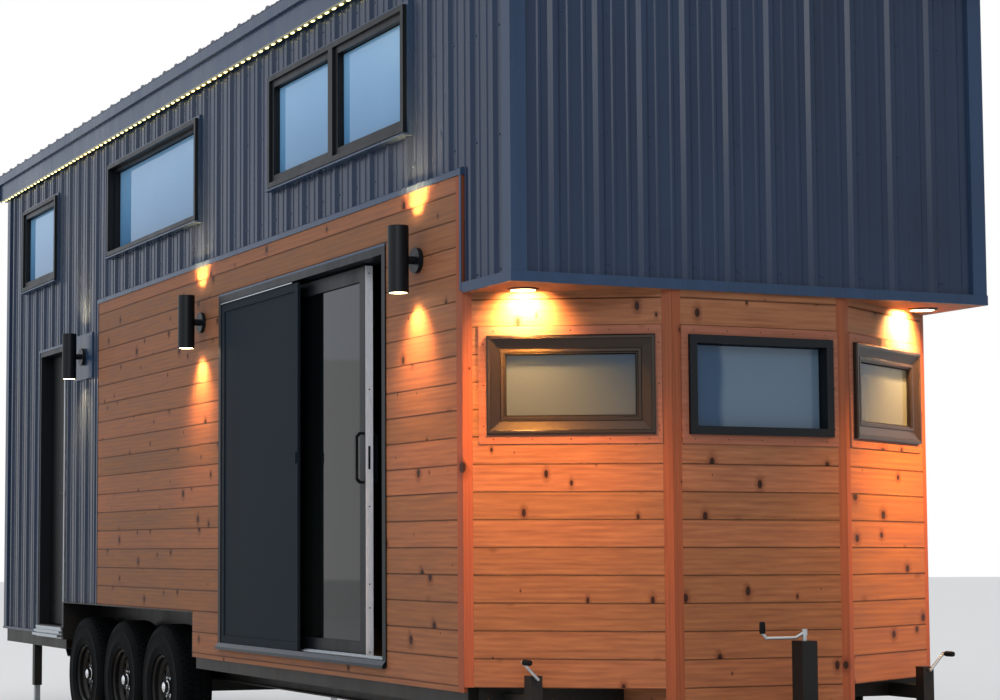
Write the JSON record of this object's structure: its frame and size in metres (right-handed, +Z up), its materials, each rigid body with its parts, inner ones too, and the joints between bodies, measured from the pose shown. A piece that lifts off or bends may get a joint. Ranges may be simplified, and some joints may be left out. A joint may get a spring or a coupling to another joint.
{
  "type": "tiny house on a triple-axle trailer",
  "caption": "Two-storey tiny house on a triple-axle trailer, with cedar and ribbed metal siding, a three-faced nose bay, patio doors, wall lamps and jacks.",
  "frame": {"origin": "on the ground under the centre of the whole part's box", "axes": "+X along the house towards the coupler, the side with the doors faces -Y, +Z up"},
  "size_m": [9.7502, 2.7959, 4.3512],
  "materials": {
    "tyre": "matt black rubber",
    "black_rim": "satin black",
    "black_steel": "satin black paint",
    "zinc_steel": "zinc plated",
    "plywood": "plywood",
    "framed_wall": "sheathed timber frame",
    "ribbed_metal": "satin charcoal",
    "fascia_metal": "satin charcoal",
    "light_lens": "lit diffuser",
    "cedar": "stained knotty cedar",
    "cedar_trim": "stained cedar",
    "black_frame": "matt black",
    "bronze_frame": "dark bronze",
    "glass": "clear double glazing",
    "screen_mesh": "insect mesh",
    "door_paint": "satin black",
    "aluminium_trim": "mill finish aluminium",
    "lamp_black": "powder coated black"
  },
  "bodies": {
    "root": {"frame_rails": "black_steel", "cross_members": "black_steel", "tongue_beams": "black_steel", "coupler": "black_steel", "axles": "black_steel", "wheel_wells": "black_steel", "jack_tubes": "black_steel", "floor_deck": "plywood", "loft_floor": "plywood", "door_side_piers": "framed_wall", "door_side_upper_wall": "framed_wall", "far_side_wall": "framed_wall", "rear_wall": "framed_wall", "bay_walls": "framed_wall", "nose_wall": "framed_wall", "overhang_floors": "framed_wall", "roof_deck": "framed_wall", "roof_sheets": "ribbed_metal", "fascia": "fascia_metal", "light_strip": "light_lens", "metal_siding": "ribbed_metal", "flashings": "fascia_metal", "cedar_siding": "cedar", "corner_boards": "cedar_trim", "soffit_boards": "cedar", "window_frames": "black_frame", "bay_window_frames": "bronze_frame", "window_casings": "cedar_trim", "window_glass": "glass", "door_frames": "black_frame", "aluminium_trims": "aluminium_trim", "patio_fixed_panel": "black_frame", "wall_lamps": "lamp_black", "soffit_lights": "light_lens"},
    "wheel_door_rear": {"tyre_door_rear": "tyre", "rim_door_rear": "black_rim"},
    "wheel_door_mid": {"tyre_door_mid": "tyre", "rim_door_mid": "black_rim"},
    "wheel_door_front": {"tyre_door_front": "tyre", "rim_door_front": "black_rim"},
    "wheel_far_rear": {"tyre_far_rear": "tyre", "rim_far_rear": "black_rim"},
    "wheel_far_mid": {"tyre_far_mid": "tyre", "rim_far_mid": "black_rim"},
    "wheel_far_front": {"tyre_far_front": "tyre", "rim_far_front": "black_rim"},
    "tongue_jack_leg": {"tongue_jack_leg": "zinc_steel"},
    "front_jack_door_leg": {"front_jack_leg_door": "zinc_steel"},
    "front_jack_far_leg": {"front_jack_leg_far": "zinc_steel"},
    "rear_jack_door_leg": {"rear_jack_leg_door": "zinc_steel"},
    "rear_jack_far_leg": {"rear_jack_leg_far": "zinc_steel"},
    "tongue_jack_crank": {"tongue_jack_crank": "zinc_steel"},
    "front_jack_door_crank": {"front_jack_crank_door": "zinc_steel"},
    "front_jack_far_crank": {"front_jack_crank_far": "zinc_steel"},
    "patio_slider": {"patio_sliding_panel": "black_frame", "patio_sliding_glass": "glass", "patio_edge_strip": "aluminium_trim"},
    "insect_screen": {"patio_screen": "screen_mesh"},
    "entry_leaf": {"entry_door": "door_paint"}
  },
  "joints": [
    {"name": "wheel_door_rear_spin", "type": "hinge", "parent": "root", "child": "wheel_door_rear", "pos_m": [-2.555, -1.0995, 0.403], "axis": [0, 1, 0], "continuous": true},
    {"name": "wheel_door_mid_spin", "type": "hinge", "parent": "root", "child": "wheel_door_mid", "pos_m": [-1.695, -1.0995, 0.403], "axis": [0, 1, 0], "continuous": true},
    {"name": "wheel_door_front_spin", "type": "hinge", "parent": "root", "child": "wheel_door_front", "pos_m": [-0.835, -1.0995, 0.403], "axis": [0, 1, 0], "continuous": true},
    {"name": "wheel_far_rear_spin", "type": "hinge", "parent": "root", "child": "wheel_far_rear", "pos_m": [-2.555, 1.2055, 0.403], "axis": [0, 1, 0], "continuous": true},
    {"name": "wheel_far_mid_spin", "type": "hinge", "parent": "root", "child": "wheel_far_mid", "pos_m": [-1.695, 1.2055, 0.403], "axis": [0, 1, 0], "continuous": true},
    {"name": "wheel_far_front_spin", "type": "hinge", "parent": "root", "child": "wheel_far_front", "pos_m": [-0.835, 1.2055, 0.403], "axis": [0, 1, 0], "continuous": true},
    {"name": "tongue_jack_lift", "type": "slide", "parent": "root", "child": "tongue_jack_leg", "axis": [0, 0, 1], "range_m": [0, 0.2]},
    {"name": "front_jack_door_lift", "type": "slide", "parent": "root", "child": "front_jack_door_leg", "axis": [0, 0, 1], "range_m": [0, 0.2]},
    {"name": "front_jack_far_lift", "type": "slide", "parent": "root", "child": "front_jack_far_leg", "axis": [0, 0, 1], "range_m": [0, 0.2]},
    {"name": "rear_jack_door_lift", "type": "slide", "parent": "root", "child": "rear_jack_door_leg", "axis": [0, 0, 1], "range_m": [0, 0.2]},
    {"name": "rear_jack_far_lift", "type": "slide", "parent": "root", "child": "rear_jack_far_leg", "axis": [0, 0, 1], "range_m": [0, 0.2]},
    {"name": "tongue_jack_turn", "type": "hinge", "parent": "root", "child": "tongue_jack_crank", "pos_m": [4.415, 0.053, 0.875], "axis": [0, 0, 1], "continuous": true},
    {"name": "front_jack_door_turn", "type": "hinge", "parent": "root", "child": "front_jack_door_crank", "pos_m": [3.87, -1.017, 0.7], "axis": [1, 0, 0], "continuous": true},
    {"name": "front_jack_far_turn", "type": "hinge", "parent": "root", "child": "front_jack_far_crank", "pos_m": [3.87, 1.123, 0.7], "axis": [1, 0, 0], "continuous": true},
    {"name": "patio_slide", "type": "slide", "parent": "root", "child": "patio_slider", "axis": [1, 0, 0], "range_m": [-0.72, 0.341]},
    {"name": "screen_slide", "type": "slide", "parent": "root", "child": "insect_screen", "axis": [1, 0, 0], "range_m": [0, 1.11]},
    {"name": "entry_swing", "type": "hinge", "parent": "root", "child": "entry_leaf", "pos_m": [-3.647, -1.105, 1.7], "axis": [0, 0, 1], "range_deg": [0, 90]}
  ]
}
